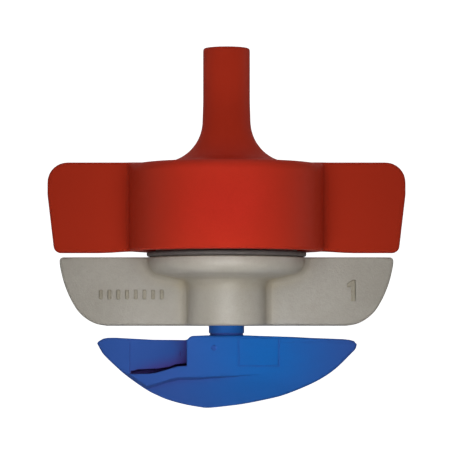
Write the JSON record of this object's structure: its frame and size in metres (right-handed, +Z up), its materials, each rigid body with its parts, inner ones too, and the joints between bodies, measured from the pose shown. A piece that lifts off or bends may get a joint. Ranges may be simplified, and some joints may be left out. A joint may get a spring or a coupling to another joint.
{
  "type": "rotary micro-sprinkler head",
  "caption": "Hanging micro-sprinkler head: stem cap with wings, twist-locked winged housing, and a hollow spindle carrying a free-spinning blade that throws a side jet.",
  "frame": {"origin": "centre of the inlet stem's end face", "axes": "+Z up along the stem, out of its end; X along the wings; Y through the wings' thickness"},
  "size_m": [0.0466, 0.0254, 0.0469],
  "materials": {
    "cap_plastic": "satin moulded red",
    "housing_plastic": "matte moulded warm grey",
    "seal_rubber": "matte black",
    "silicone": "translucent natural",
    "nozzle_plastic": "satin moulded red",
    "bearing_plastic": "natural white",
    "washer_plastic": "natural white",
    "spindle_plastic": "satin moulded blue",
    "blade_plastic": "satin moulded blue"
  },
  "bodies": {
    "cap": {"inlet_cap": "cap_plastic"},
    "housing": {"housing": "housing_plastic", "seal_ring": "seal_rubber", "flow_diaphragm": "silicone", "nozzle_insert": "nozzle_plastic", "bearing_bush": "bearing_plastic"},
    "float": {"thrust_washer": "washer_plastic"},
    "rotor": {"spindle": "spindle_plastic", "rotor_blade": "blade_plastic"}
  },
  "joints": [
    {"name": "bayonet_turn", "type": "hinge", "parent": "cap", "child": "housing", "pos_m": [0, 0, -0.0273], "axis": [0, 0, 1], "range_deg": [-90, 0]},
    {"name": "rotor_float", "type": "slide", "parent": "housing", "child": "float", "axis": [0, 0, 1], "range_m": [0, 0.001]},
    {"name": "rotor_spin", "type": "hinge", "parent": "float", "child": "rotor", "pos_m": [0, 0, -0.03743], "axis": [0, 0, 1], "continuous": true}
  ]
}
